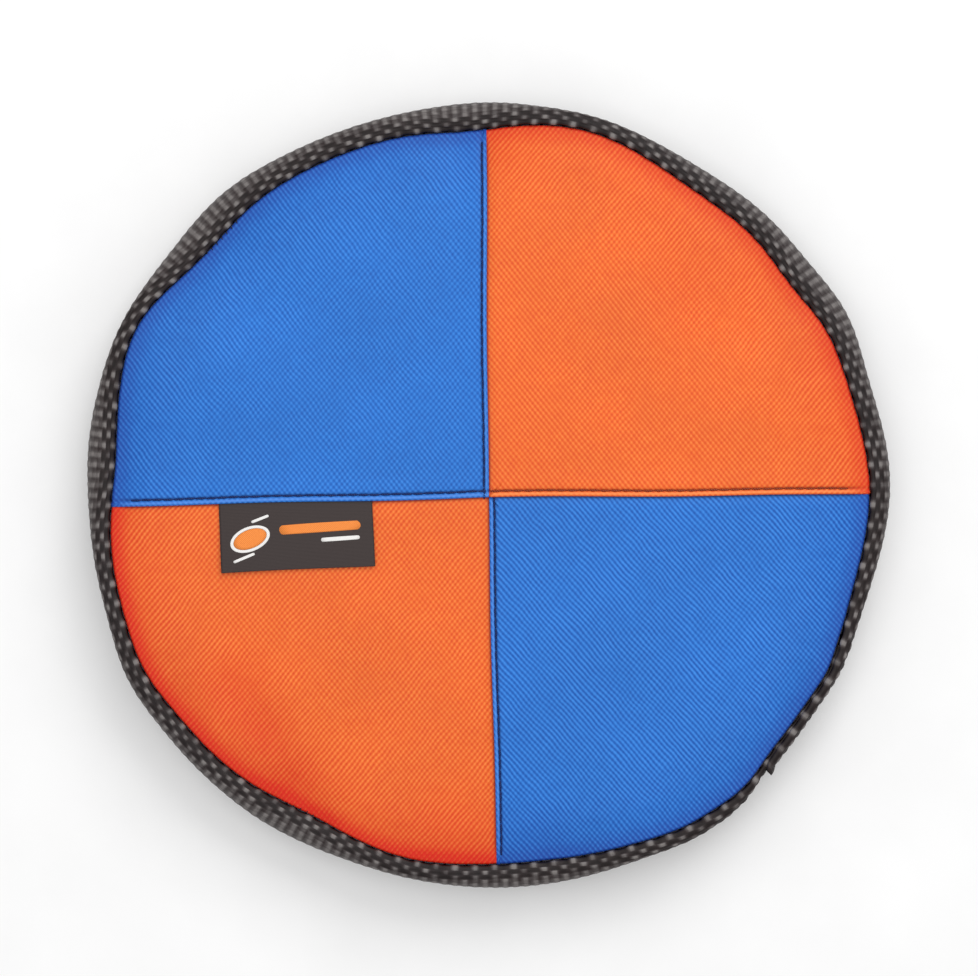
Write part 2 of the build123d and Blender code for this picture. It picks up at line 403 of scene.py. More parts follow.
def tube(path, radius, sides=6):
    """Closed tube along a path. Its cloth attribute holds the length so far, in mm, and the turn."""
    heading = np.gradient(path, axis=0)
    heading /= np.linalg.norm(heading, axis=1)[:, None]
    side = np.cross(heading, np.array((0.0, 0.0, 1.0)))
    side /= np.maximum(np.linalg.norm(side, axis=1), 1e-9)[:, None]
    top = np.cross(side, heading)
    turn = np.arange(sides) * FULL_TURN / sides
    ring = side[:, None] * np.cos(turn)[:, None] + top[:, None] * np.sin(turn)[:, None]
    points = (path[:, None] + ring * radius).reshape(-1, 3)
    steps = np.linalg.norm(np.diff(path, axis=0), axis=1)
    along = np.repeat(np.concatenate(([0.0], np.cumsum(steps))) / MM, sides)
    cloth = np.stack((along, np.tile(turn, len(path)), 0 * along), axis=1)
    return points, tube_faces(len(path), sides), {"cloth": cloth}


# ---- materials

class Nodes:
    """A material's node tree, with short calls for what repeats."""

    def __init__(self, name):
        self.material = bpy.data.materials.new(name)
        self.material.use_nodes = True
        self.tree = self.material.node_tree
        self.shader = self.tree.nodes["Principled BSDF"]

    def put(self, socket, value):
        if isinstance(value, bpy.types.NodeSocket):
            self.tree.links.new(value, socket)
        else:
            socket.default_value = value

    def node(self, kind, inputs, output=0, **settings):
        """Output of a new node, from its inputs by name or number and its settings by name."""
        node = self.tree.nodes.new("ShaderNode" + kind)
        for setting, value in settings.items():
            setattr(node, setting, value)
        for socket, value in inputs.items():
            self.put(node.inputs[socket], value)
        return node.outputs[output]

    def stored(self, name, output="Vector"):
        return self.node("Attribute", {}, output, attribute_name=name)

    def math(self, operation, first, second=0.0, third=0.0):
        return self.node("Math", {0: first, 1: second, 2: third}, operation=operation)

    def times(self, first, second):
        return self.math("MULTIPLY", first, second)

    def linear(self, value, factor, offset):
        """value * factor + offset."""
        return self.math("MULTIPLY_ADD", value, factor, offset)

    def scaled(self, vector, scale):
        return self.node("Mapping", {"Vector": vector, "Scale": scale})

    def split(self, vector):
        return self.node("SeparateXYZ", {0: vector}).node.outputs

    def noise(self, vector, scale, detail=3.0):
        return self.node("TexNoise", {"Vector": vector, "Scale": scale, "Detail": detail}, "Fac")

    def add_noise(self, value, noise, share):
        """Adds a noise of 0 to 1 to a value, without changing the value's mean."""
        return self.linear(self.math("SUBTRACT", noise, 0.5), share, value)

    def ramp(self, factor, stops):
        result = self.node("ValToRGB", {0: factor})
        elements = result.node.color_ramp.elements
        for _ in stops[2:]:
            elements.new(0.5)
        for element, (place, colour) in zip(elements, stops):
            element.position = place
            element.color = (*colour, 1)
        return result

    def mix(self, factor, first, second, blend="MIX"):
        return self.node("Mix", {0: factor, 6: first, 7: second}, 2, data_type="RGBA", blend_type=blend)

    def bump(self, height, distance, strength):
        return self.node("Bump", {"Height": height, "Distance": distance, "Strength": strength})

    def finish(self, colour, roughness, normal, specular=0.5, sheen=0.0):
        for socket, value in (
            ("Base Color", colour), ("Roughness", roughness), ("Normal", normal),
            ("Specular IOR Level", specular), ("Sheen Weight", sheen),
        ):
            self.put(self.shader.inputs[socket], value)
        return self.material


def plain_weave(nodes, cloth, warp, weft, waver=0.0, skew=0.0):
    """-1 to 1: the crossings of a plain weave whose yarns lie warp and weft mm apart.

    The cloth attribute's third value slants the crossings, as in a skewed cloth; on the panels it also sets
    which flank of the yarns carries the painted highlight. waver lets the yarns wander, and skew lets the
    slant change from place to place.
    """
    x, y, slant = nodes.split(cloth)
    if waver:
        drift = nodes.noise(cloth, 0.09, 2.0)
        x = nodes.linear(drift, waver, x)
        y = nodes.linear(drift, -waver, y)
    if skew:
        slant = nodes.add_noise(slant, nodes.noise(cloth, 0.06, 1.0), skew)
    turn_x = nodes.times(x, math.pi / warp)
    turn_y = nodes.times(y, math.pi / weft)
    straight = nodes.times(nodes.math("SINE", turn_x), nodes.math("SINE", turn_y))
    skewed = nodes.times(nodes.math("COSINE", turn_x), nodes.math("COSINE", turn_y))
    return nodes.linear(skewed, slant, straight)


def oxford_cloth(name, dark, middle, bright, valley_shade, lip_highlight):
    """Coated oxford cloth: coarse plain weave, with a painted highlight on the yarns that lie on top and
    painted shade between them.

    Its attributes: weave is how deep the weave shows; another holds how strong the painted shade is beside
    the valley and in the hollows; a third is above 0 for a painted highlight where the cloth is stretched
    over an edge and below 0 for painted shade in the creases and painted shadow beside the seams.
    """
    nodes = Nodes(name)
    cloth = nodes.stored("cloth")
    weave = plain_weave(nodes, cloth, warp=0.82, weft=1.0, waver=1.1, skew=1.0)
    depth = nodes.linear(nodes.noise(cloth, 0.12, 2.0), 0.8, 0.6)
    depth = nodes.times(depth, nodes.stored("weave", "Fac"))
    fibres = nodes.noise(nodes.scaled(cloth, (5.0, 5.0, 1.0)), 1.0, 4.0)
    uneven = nodes.noise(cloth, 0.35, 3.0)
    # The weave's light and dark are painted highlights on the yarns on top and painted shade between them
    level = nodes.linear(nodes.times(weave, depth), 0.5, 0.5)
    level = nodes.add_noise(level, fibres, 0.40)
    level = nodes.add_noise(level, uneven, 0.26)
    colour = nodes.ramp(level, ((0.05, dark), (0.5, middle), (0.98, bright)))
    broad = nodes.noise(cloth, 0.03, 2.0)
    shade = nodes.ramp(broad, ((0.3, (0.9, 0.9, 0.9)), (0.7, (1.0, 1.0, 1.0))))
    colour = nodes.mix(1.0, colour, shade, "MULTIPLY")
    # Painted light at the seams: a painted highlight on the folded edges, painted shade in the creases and
    # painted shadow beside the lower edges
    seam_light_and_shade = nodes.stored("seam_light_and_shade", "Fac")
    colour = nodes.mix(nodes.math("MAXIMUM", seam_light_and_shade, 0.0), colour, (*lip_highlight, 1))
    seam_shade_share = nodes.math("MAXIMUM", nodes.times(seam_light_and_shade, -1.0), 0.0)
    colour = nodes.mix(seam_shade_share, colour, (*(0.35 * part for part in valley_shade), 1))
    # Painted shade beside the rim, down its turn and in the hollows, laid deeper between the yarns
    shade_between_yarns = nodes.linear(level, -0.6, 1.3)
    border_shade = nodes.times(nodes.stored("border_shade", "Fac"), shade_between_yarns)
    colour = nodes.mix(border_shade, colour, (*valley_shade, 1))
    normal = nodes.bump(nodes.linear(fibres, 0.5, weave), 0.05 * MM, 0.6)
    roughness = nodes.linear(uneven, 0.2, 0.42)
    return nodes.finish(colour, roughness, normal, specular=0.22, sheen=0.03)


def blue_fabric():
    return oxford_cloth(
        "blue_fabric",
        # dark and bright are the weave's painted shade and painted highlight; the last two colours are
        # painted shade beside the rim, in the hollows and in the seams' creases, and a painted highlight on
        # the folded seam edges
        dark=(0.006, 0.085, 0.40),
        middle=(0.017, 0.162, 0.60),
        bright=(0.050, 0.270, 0.80),
        valley_shade=(0.010, 0.05, 0.33),
        lip_highlight=(0.11, 0.30, 0.82),
    )


def orange_fabric():
    return oxford_cloth(
        "orange_fabric",
        # dark and bright are the weave's painted shade and painted highlight; the last two colours are
        # painted shade beside the rim, in the hollows and in the seams' creases, and a painted highlight on
        # the folded seam edges
        dark=(0.66, 0.055, 0.010),
        middle=(0.86, 0.137, 0.0195),
        bright=(0.98, 0.29, 0.063),
        valley_shade=(0.68, 0.018, 0.005),
        lip_highlight=(1.0, 0.34, 0.10),
    )


def lining_fabric():
    """Black oxford cloth, finer and smoother than the panels."""
    nodes = Nodes("lining_fabric")
    cloth = nodes.stored("cloth")
    weave = plain_weave(nodes, cloth, warp=0.5, weft=0.5, waver=0.8)
    uneven = nodes.noise(cloth, 0.3, 4.0)
    level = nodes.linear(weave, 0.5, 0.5)
    level = nodes.times(level, nodes.math("ADD", uneven, 0.5))
    colour = nodes.ramp(level, ((0.0, (0.004, 0.004, 0.005)), (1.0, (0.045, 0.045, 0.05))))
    normal = nodes.bump(weave, 0.04 * MM, 0.8)
    return nodes.finish(colour, 0.5, normal, specular=0.4, sheen=0.05)


def padding_foam():
    """Thin closed-cell foam."""
    nodes = Nodes("padding_foam")
    height = nodes.node("TexVoronoi", {"Vector": nodes.stored("cloth"), "Scale": 1.6}, "Distance")
    colour = nodes.ramp(height, ((0.0, (0.66, 0.65, 0.62)), (0.8, (0.52, 0.51, 0.48))))
    return nodes.finish(colour, 0.85, nodes.bump(height, 0.12 * MM, 0.7))


def black_webbing():
    """Polypropylene strap: glossy filament yarns, with painted highlights on their crowns and ribs and
    painted shade where they dip under the picks.
    """
    nodes = Nodes("black_webbing")
    strap = nodes.stored("strap")
    relief = nodes.stored("relief", "Fac")
    filaments = nodes.noise(nodes.scaled(strap, (0.9, 9.0, 1.0)), 1.0, 4.0)
    yarns = nodes.noise(nodes.scaled(strap, (0.35, 0.9, 1.0)), 1.0, 2.0)
    level = nodes.add_noise(relief, filaments, 0.30)
    level = nodes.add_noise(level, yarns, 0.30)
    # The relief attribute holds painted light: painted highlights on the crowns and ribs, painted shade in
    # the dips and grooves
    colour = nodes.ramp(
        level,
        (
            (0.10, (0.007, 0.003, 0.003)),
            (0.40, (0.023, 0.015, 0.015)),
            (0.65, (0.078, 0.067, 0.066)),
            (0.90, (0.190, 0.173, 0.168)),
        ),
    )
    normal = nodes.bump(filaments, 0.10 * MM, 0.6)
    roughness = nodes.linear(filaments, 0.2, 0.42)
    return nodes.finish(colour, roughness, normal, specular=0.28)


def sewing_thread(name, dark, light):
    """Bonded thread: plies twisted round each other."""
    nodes = Nodes(name)
    along, turn, _ = nodes.split(nodes.stored("cloth"))
    lay = nodes.linear(along, FULL_TURN / 0.7, nodes.times(turn, 2.0))
    plies = nodes.linear(nodes.math("SINE", lay), 0.5, 0.5)
    colour = nodes.ramp(plies, ((0.1, dark), (0.9, light)))
    return nodes.finish(colour, 0.42, nodes.bump(plies, 0.05 * MM, 0.7), specular=0.25)


def label_satin():
    """Woven label: dense satin with fine ribs along its length."""
    nodes = Nodes("label_satin")
    cloth = nodes.stored("cloth")
    _, across, _ = nodes.split(cloth)
    ribs = nodes.math("SINE", nodes.times(across, FULL_TURN / 0.42))
    floats = nodes.noise(nodes.scaled(cloth, (1.2, 7.0, 1.0)), 1.0, 3.0)
    level = nodes.linear(floats, 0.4, nodes.linear(ribs, 0.18, 0.32))
    colour = nodes.ramp(level, ((0.15, (0.019, 0.013, 0.012)), (0.85, (0.051, 0.035, 0.033))))
    return nodes.finish(colour, 0.55, nodes.bump(level, 0.05 * MM, 0.8), specular=0.3)


def label_yarn(name, dark, light):
    """Coloured weft of the label's mark."""
    nodes = Nodes(name)
    cloth = nodes.stored("cloth")
    weave = plain_weave(nodes, cloth, warp=0.3, weft=0.3)
    level = nodes.linear(nodes.noise(cloth, 2.0, 2.0), 0.3, nodes.linear(weave, 0.3, 0.5))
    colour = nodes.ramp(level, ((0.2, dark), (0.9, light)))
    return nodes.finish(colour, 0.6, nodes.bump(weave, 0.04 * MM, 0.8), specular=0.3)


def floor_paint():
    """Pale studio floor."""
    nodes = Nodes("floor_paint")
    grain = nodes.noise(nodes.node("TexCoord", {}, "Object"), 30.0, 3.0)
    colour = nodes.ramp(grain, ((0.3, (0.90, 0.90, 0.90)), (0.7, (0.93, 0.93, 0.93))))
    return nodes.finish(colour, 0.8, nodes.bump(grain, 0.05 * MM, 0.2), specular=0.1)


# ---- rim webbing

def strap_sections(angle, inward, along, offset):
    """Points of the strap: rows are places round the rim and columns places round its section.

    inward is the layer's distance inside the outline, along the length up the strap's width and
    offset the distance from the middle of its thickness.
    """
    tucked = inward / TUCK
    wall = wall_height(angle) - TUCKED_DROP * tucked
    width = rim_width(angle) + TUCKED_REACH * tucked - inward
    roll = width * ROLL_SHARE - STRAP_THICKNESS / 2
    centre = outline(angle) - inward - STRAP_THICKNESS / 2 - roll
    length = wall + ROLLED * roll
    place = along * (length / STRAP_WIDTH)[:, None]
    wall, roll, centre = (value[:, None] for value in (wall, roll, centre))
    facing = np.maximum(place - wall, 0) / roll
    below = np.minimum(place, wall)
    bow = WALL_BOW * np.sin(math.pi * below / wall) * (place < wall)
    radius = centre + bow + (roll + offset) * np.cos(facing)
    level = below + (roll + offset) * np.sin(facing)
    return radius, level


def section_loop():
    """Places round the strap's section: (along the width, across the thickness, column, face).

    face is 1 on the outer side, -1 on the inner one, and 0 in the grooves and at the lower edge.
    """
    half = STRAP_THICKNESS / 2
    last = COLUMNS - 1
    pitch = STRAP_WIDTH / COLUMNS
    outer = [((k + part) * pitch, half, k, 1 if part else 0) for k in range(COLUMNS) for part in YARN_PARTS]
    upper_edge = [(STRAP_WIDTH, half * 0.8, last, 1), (STRAP_WIDTH + half * 0.5, half * 0.1, last, 1)]
    inner = [(k * pitch, -half * (0.8 if k in (0, COLUMNS) else 1.0), k, -1) for k in range(COLUMNS, -1, -2)]
    lower_edge = [(-half * 0.5, 0.0, 0, 0)]
    return np.array(outer + upper_edge + inner + lower_edge)


def webbing_weave(picks, column, face):
    """Height and painted shade of the strap's yarns, between about -1 and 1.

    The picks make ribs across the strap, and the warp yarns crown over them by turns. The ribs
    show on the upright part, and the crowns on the part that rolls over the rim. The shade is painted
    light: painted highlights on the crowns, each a little brighter or darker at random, and on the
    ribs, and painted shade in the dips and in the grooves between the yarns; it is also darker down
    the upright part.
    """
    sway = 0.10 * np.sin(0.37 * picks + 1.7 * column) + 0.07 * np.sin(0.83 * picks - 0.9 * column)
    crown = np.cos(math.pi * (picks + column + sway))
    rib = np.cos(FULL_TURN * picks)
    rolled = smooth(COLUMNS - 4.5, COLUMNS - 3.0, column)
    height = (0.1 + 0.7 * rolled) * crown + (0.30 - 0.10 * rolled) * rib
    # Painted highlights on the crowns, each a little brighter or darker at random
    chance = np.sin(12.99 * np.round((picks + column) / 2) + 78.23 * column) * 437.5
    crown_highlight = (crown + 1) * (0.72 + 0.56 * (chance - np.floor(chance))) - 1
    # Painted highlight along each rib, with narrow painted shade between the ribs
    ridge = 1 - 0.5 * (1 - rib) ** 2
    shade = (0.22 - 0.50 * rolled) + (0.08 + 0.62 * rolled) * crown_highlight + (0.42 - 0.16 * rolled) * ridge
    shade = shade - 0.25 * (1 - smooth(5, 13, column))
    # Painted shade in the grooves between the yarns
    groove = face == 0
    depth = GROOVE / RELIEF * (0.4 + 0.6 * rolled)
    return np.where(groove, -depth, height), np.where(groove, shade - 0.04 - 0.11 * rolled, shade)


def rim_webbing(material):
    """The rim's strap: one length that laps over its own hidden end."""
    along, across, column, face = section_loop().T
    pick = 360.0 / PICKS_PER_TURN
    count = int(round((LAP_END - LAP_START) / pick * ROWS_PER_PICK)) + 1
    turn = np.linspace(LAP_START, LAP_END, count)
    turn = np.concatenate((LAP_START + np.array(CUT_ROWS), turn[1:]))
    angle = np.radians(turn)
    past_end = turn - LAP_START
    inward = TUCK_AT_CUT * smooth(TUCK_START, TUCK_END, turn)
    inward = inward + (TUCK - TUCK_AT_CUT) * smooth(TUCK_END, TUCK_END + FLAT_LENGTH, turn)
    flat = FLAT_END + (1 - FLAT_END) * smooth(0, FLAT_LENGTH, past_end)
    flat = flat * np.sqrt(np.clip(0.1 + past_end / CUT_ROUNDING, 0, 1))
    height, shade = webbing_weave((turn / pick)[:, None], column, face)
    offset = (across + RELIEF * height * np.sign(face + 0.5)) * flat[:, None]
    radius, level = strap_sections(angle, inward, along, offset)
    radius += (END_FLARE * np.clip(1 - past_end / END_LENGTH, 0, 1) ** 2)[:, None]
    points = around(radius, angle[:, None], np.maximum(level, 0.0))
    strap = np.broadcast_arrays(angle[:, None] * OUTER_RADIUS / MM, along / MM, column)
    shade = (shade * 0.5 + 0.5) * (0.55 + 0.45 * smooth(0, 3.0, past_end))[:, None]
    # The relief attribute carries the yarns' painted highlights and painted shade
    values = {"strap": np.stack(strap, axis=2).reshape(-1, 3), "relief": shade.ravel()}
    faces = tube_faces(len(turn), len(along))
    return make_object("rim_webbing", points.reshape(-1, 3), faces, material, values)


# ---- panels

def seam_direction(seam):
    """Unit vector along a seam, from the middle outwards."""
    end = np.array(SEAM_ENDS[seam]) - np.array(SEAM_MIDDLE)
    return end / np.linalg.norm(end)


def over_profile(distance, stitch):
    """Height of a folded, topstitched edge above the cloth, at a distance from its seam."""
    ridge = RIDGE * (1 - smooth(3 * MM, 9 * MM, distance))
    ridge = ridge + (LIP - RIDGE) * (1 - smooth(0.8 * MM, stitch, distance))
    return ridge - STITCH_DIP * bell(distance - stitch, 0.45 * MM)


def under_profile(distance):
    """Height of the edge that runs beneath its neighbour."""
    return -UNDER_DROP * (1 - smooth(0.4 * MM, 3.0 * MM, distance))


def over_columns(stitch):
    """Columns of a folded edge: (distance from the seam, height)."""
    middle = LIP - FOLD_RADIUS
    columns = [(1.0 * MM, middle - FOLD_RADIUS), (FOLD_RADIUS, middle - FOLD_RADIUS)]
    for turn in (-60, -20, 20, 60):
        a = math.radians(turn)
        columns.append((FOLD_RADIUS - FOLD_RADIUS * math.cos(a), middle + FOLD_RADIUS * math.sin(a)))
    beside_stitch = [stitch + d * MM for d in (-0.3, 0, 0.3, 0.8)]
    for d in (FOLD_RADIUS, 0.7 * MM, 1.0 * MM, *beside_stitch, 3.3 * MM, 4.3 * MM, BORDER):
        columns.append((d, float(over_profile(d, stitch))))
    return columns


def under_columns():
    """Columns of the edge beneath a neighbour, as many as over_columns gives."""
    places = (-3, -2.1, -1.4, -0.8, -0.3, 0.0, 0.3, 0.6, 0.9, 1.3, 1.7, 2.1, 2.6, 3.3, 4.3)
    return [(d, float(under_profile(d))) for d in (*(place * MM for place in places), BORDER)]


def with_lengths(columns):
    """Adds each column's length along the cloth, which equals its distance at the last one."""
    columns = np.array(columns)
    steps = np.hypot(np.diff(columns[:, 0]), np.diff(columns[:, 1]))
    run = np.concatenate(([0.0], np.cumsum(steps)))
    return np.column_stack((columns, run - run[-1] + columns[-1, 0]))


def label_share(x, y):
    """1 along the stretch of seam that holds the label."""
    left, right = LABEL_CORNERS[0][0] * MM, LABEL_CORNERS[1][0] * MM
    along = smooth(left - 3 * MM, left, x) * (1 - smooth(right, right + 3 * MM, x))
    return along * bell(y, 5 * MM)


class Quadrant:
    """One panel: a grid with strips beside its two seams and a fan between them.

    Columns go round from the first seam to the second. Rows go outwards to the panel's shoulder,
    over its turn and down its skirt.
    """

    ROWS = 132
    FAN = 58
    TURN_DOWN = (15, 30, 45, 60, 75, 90)
    SKIRT = 4
    SKIRT_PITCH = 1.2 * MM

    def __init__(self, first, second, first_over, second_over):
        self.seams = (first, second)
        self.over = (first_over, second_over)
        self.directions = [seam_direction(seam) for seam in self.seams]
        a, b = self.directions
        self.normals = np.array(((-a[1], a[0]), (b[1], -b[0])))
        self.middle = np.array(SEAM_MIDDLE) * MM
        self.stitches = [STITCH_OFFSETS[seam] * MM for seam in self.seams]
        self.edges = [
            with_lengths(over_columns(stitch) if over else under_columns())
            for stitch, over in zip(self.stitches, self.over)
        ]
        # For each row: its share of the way out, how far it has turned down, and its share of the skirt
        flat, turned = self.ROWS + 1, len(self.TURN_DOWN)
        skirt = np.arange(1, self.SKIRT + 1) / self.SKIRT
        self.share = np.concatenate((np.linspace(0, 1, flat), np.ones(turned + self.SKIRT)))
        self.turn = np.concatenate((np.zeros(flat), np.radians((*self.TURN_DOWN, *[90] * self.SKIRT))))
        self.fall = np.concatenate((np.zeros(flat + turned), skirt))

    def columns(self):
        """Start and direction of every column."""
        corners = [
            self.middle + np.linalg.solve(self.normals, pair)
            for pair in np.column_stack([edge[:, 0] for edge in self.edges])
        ]
        a, b = self.directions
        sweep = math.acos(float(np.clip(a @ b, -1, 1)))
        fan = [rotated(*a, sweep * k / self.FAN) for k in range(1, self.FAN)]
        starts = corners + [corners[-1]] * len(fan) + corners[::-1]
        headings = [a] * len(corners) + fan + [b] * len(corners)
        return np.array(starts), np.array(headings)

    def plan(self):
        """Every point's place seen from above, and every column's direction outwards at the rim."""
        starts, headings = self.columns()
        length = np.full(len(starts), 100 * MM)
        for _ in range(14):
            tip = starts + headings * length[:, None]
            radius = np.hypot(tip[:, 0], tip[:, 1])
            length += panel_shoulder(np.arctan2(tip[:, 1], tip[:, 0])) - radius
        points = starts + headings * (length * self.share[:, None])[:, :, None]
        tip_angle = np.arctan2(points[-1, :, 1], points[-1, :, 0])
        outward = np.stack((np.cos(tip_angle), np.sin(tip_angle)), axis=1)
        return points + outward * (PANEL_ROLL * np.sin(self.turn))[:, None, None], outward

    def profile(self, edge, distance):
        if self.over[edge]:
            return over_profile(distance, self.stitches[edge])
        return under_profile(distance)

    def relief(self, plan):
        """Height of the seams above the cloth, and lengths along the cloth from the two seams."""
        distances = [(plan - self.middle) @ normal for normal in self.normals]
        lengths = [distance.copy() for distance in distances]
        raised = [self.profile(edge, distances[edge]) for edge in (0, 1)]
        count = len(self.edges[0])
        for edge, columns in ((0, slice(0, count)), (1, slice(-1, -count - 1, -1))):
            raised[edge][:, columns] = self.edges[edge][:, 1]
            lengths[edge][:, columns] = self.edges[edge][:, 2]
        for edge in (0, 1):
            if self.over[edge] and not self.over[1 - edge]:
                shown = smooth(-0.9 * MM, 0.1 * MM, lengths[1 - edge])
                raised[edge] = raised[edge] * shown - (UNDER_DROP + 0.2 * MM) * (1 - shown)
        shifted = [lengths[edge] - self.edges[edge][0, 2] + 0.05 * MM for edge in (0, 1)]
        nearer = shifted[1] ** 2 / (shifted[0] ** 2 + shifted[1] ** 2)
        lift = nearer * raised[0] + (1 - nearer) * raised[1]
        if "left" in self.seams:
            push = LABEL_OVER if self.over[self.seams.index("left")] else -LABEL_UNDER
            lift = lift + push * label_share(plan[:, :, 0], plan[:, :, 1])
        return lift + self.puckers(distances), lengths

    def place(self, plan, outward, lift):
        """Every point in space: on the panels' surface, down its turn and skirt, and lifted."""
        x, y = hand_drawn(plan[:, :, 0], plan[:, :, 1])
        height = surface(x, y)
        height[self.ROWS + 1:] = height[self.ROWS]
        height = height - (PANEL_ROLL * (1 - np.cos(self.turn)))[:, None]
        fall = self.fall[:, None]
        height = height * (1 - fall) + SKIRT_END * fall
        sideways = outward * np.sin(self.turn)[:, None, None]
        upward = np.broadcast_to(np.cos(self.turn)[:, None, None], (*x.shape, 1))
        away = np.concatenate((sideways, upward), axis=2)
        return np.stack((x, y, height), axis=2) + away * lift[:, :, None]

    def cloth(self, lengths, outward, turn_weave, slant):
        """Weave coordinates in mm, measured along the cloth, and the slant of the crossings."""
        run = PANEL_ROLL * (self.turn - np.sin(self.turn)) + self.SKIRT_PITCH * self.SKIRT * self.fall
        past = (outward @ self.normals.T) * run[:, None, None] / MM
        x, y = (lengths[edge] / MM + past[:, :, edge] for edge in (0, 1))
        if self.seams[0] in ("left", "right"):
            x, y = y, x
        slants = slant + (RIM_SLANT - slant) * smooth(0.6, 0.95, self.share)[:, None] + 0 * x
        return np.stack((*rotated(x, y, math.radians(turn_weave)), slants), axis=2)

    def border_shade(self, points, border_shade_depth):
        """Painted shade of the cloth: deepest beside the rim and down its turn, and in the hollows."""
        share = 0.42 * smooth(0.93, 1.0, self.share) ** 1.5 + 0.15 * smooth(0.75, 1.0, self.share)
        share = np.where(self.turn > 0, 0.85, share)
        hollows = 0.3 * dents(points[:, :, 0], points[:, :, 1]) / MM
        return np.minimum(border_shade_depth * (share[:, None] + hollows), 1.0)

    def painted_seam_light(self, lengths):
        """Painted light by the seams: above 0 a painted highlight where a folded edge stretches the cloth,
        below 0 painted shade in the creases beside it and painted shadow beside an edge that runs beneath
        its neighbour.
        """
        total = np.zeros_like(lengths[0])
        for away, over, stitch in zip(lengths, self.over, self.stitches):
            if over:
                # Painted highlight on the folded edge
                inside = smooth(0.1 * MM, 0.45 * MM, away)
                total += 0.55 * inside * (1 - smooth(stitch - 0.75 * MM, stitch - 0.35 * MM, away))
                # Painted shade in the stitch groove
                total -= 0.75 * bell(away - stitch, 0.42 * MM)
            else:
                # Painted shadow beside the neighbour's folded edge
                total -= 0.8 * bell(np.maximum(away, 0), 0.5 * MM)
        return np.clip(total, -1, 1)

    def puckers(self, distances):
        """Small pull of each stitch on the cloth beside a topstitched edge."""
        total = np.zeros_like(distances[0])
        for edge in (0, 1):
            if self.over[edge]:
                along = distances[1 - edge]
                near = bell(distances[edge] - self.stitches[edge], 0.9 * MM)
                wave = np.cos(FULL_TURN * along / STITCH_PITCH) * near
                total += STITCH_PULL * wave * smooth(2 * MM, 5 * MM, along)
        return total

    def build(self, name, material, turn_weave, slant, weave_depth, border_shade_depth):
        plan, outward = self.plan()
        lift, lengths = self.relief(plan)
        fade = seam_fade(self.share)[:, None]
        points = self.place(plan, outward, lift * fade)
        depth = weave_depth * (1 + RIM_WEAVE * smooth(0.6, 0.95, self.share))[:, None]
        values = {
            "cloth": self.cloth(lengths, outward, turn_weave, slant).reshape(-1, 3),
            "border_shade": self.border_shade(points, border_shade_depth).ravel(),
            "seam_light_and_shade": (self.painted_seam_light(lengths) * fade).ravel(),
            "weave": (depth + 0 * lift).ravel(),
        }
        points = points.reshape(-1, 3)
        first, faces = welded(points, grid_faces(*lift.shape)[:, ::-1])
        values = {key: value[first] for key, value in values.items()}
        return make_object(name, points[first], faces, material, values, FABRIC)


# For each panel its node in CAD; its two seams, and whether it runs over each; the degrees by which
# its weave is turned, how much the crossings slant, how deep the weave shows, and how strong the
# painted shade at its border is
PANELS = {
    "panel_orange_rear": ("panel_orange_right", ("right", "rear", True, False), (1.0, -0.3, 0.58, 1.0)),
    "panel_blue_rear": ("panel_blue_left", ("rear", "left", True, True), (-1.5, 0.1, 0.7, 1.0)),
    "panel_orange_front": ("panel_orange_left", ("left", "front", False, False), (1.5, 0.2, 0.65, 1.6)),
    "panel_blue_front": ("panel_blue_right", ("front", "right", True, False), (2.0, 0.65, 0.78, 1.0)),
}


# ---- threads

def seam_point(seam, along, side):
    """Place beside a seam: along it from the middle, and sideways into its upper panel."""
    direction = seam_direction(seam)
    normal = np.array((-direction[1], direction[0])) * (-1 if seam == "left" else 1)
    place = np.array(SEAM_MIDDLE) * MM + np.outer(along, direction) + normal * side
    return hand_drawn(place[:, 0], place[:, 1])


def topstitches(seam, start):
    """Row of stitches beside a seam, each diving into the cloth at its ends."""
    stitch = STITCH_OFFSETS[seam] * MM
    parts = []
    sag = np.array((-0.30, -0.02, 0.10, 0.14, 0.10, -0.02, -0.30)) * MM
    steps = np.array((0.02, 0.10, 0.28, 0.5, 0.72, 0.90, 0.98))
    for number in range(int((SEAM_END - start) / STITCH_PITCH)):
        along = start + (number + steps) * STITCH_PITCH
        wander = 0.08 * MM * math.sin(number * 1.7)
        x, y = seam_point(seam, along, stitch + wander)
        lift = float(over_profile(stitch, stitch)) + 0.06 * MM
        if seam == "left":
            lift = lift + LABEL_OVER * label_share(x, y)
        share = np.hypot(x, y) / panel_shoulder(np.arctan2(y, x))
        z = surface(x, y) + lift * seam_fade(share) + sag
        parts.append(tube(np.stack((x, y, z), axis=1), THREAD_RADIUS))
    return parts


def seam_thread(name, material, rows):
    """Topstitching of one piece of thread. Each row is a seam and the millimetres where it starts."""
    parts = []
    for seam, start in rows:
        parts += topstitches(seam, start * MM)
    return joined_object(name, parts, material)


def rim_seam_thread(material):
    """Stitches down in the valley, through the strap's edge and the turned-down panels."""
    parts = []
    steps = np.linspace(0.04, 0.96, 7)
    weave_in = np.array((-1.0, -0.3, 0.3, 0.5, 0.3, -0.3, -1.0))
    for number in range(RIM_STITCHES):
        angle = FULL_TURN * (number + steps) / RIM_STITCHES
        radius = panel_edge(angle) + VALLEY * 0.5 + 0.12 * MM * weave_in
        z = rim_top(angle) - RIM_STITCH_DEPTH - 0.35 * MM * np.abs(weave_in)
        parts.append(tube(around(radius, angle, z), THREAD_RADIUS))
    return joined_object("rim_seam_thread", parts, material)


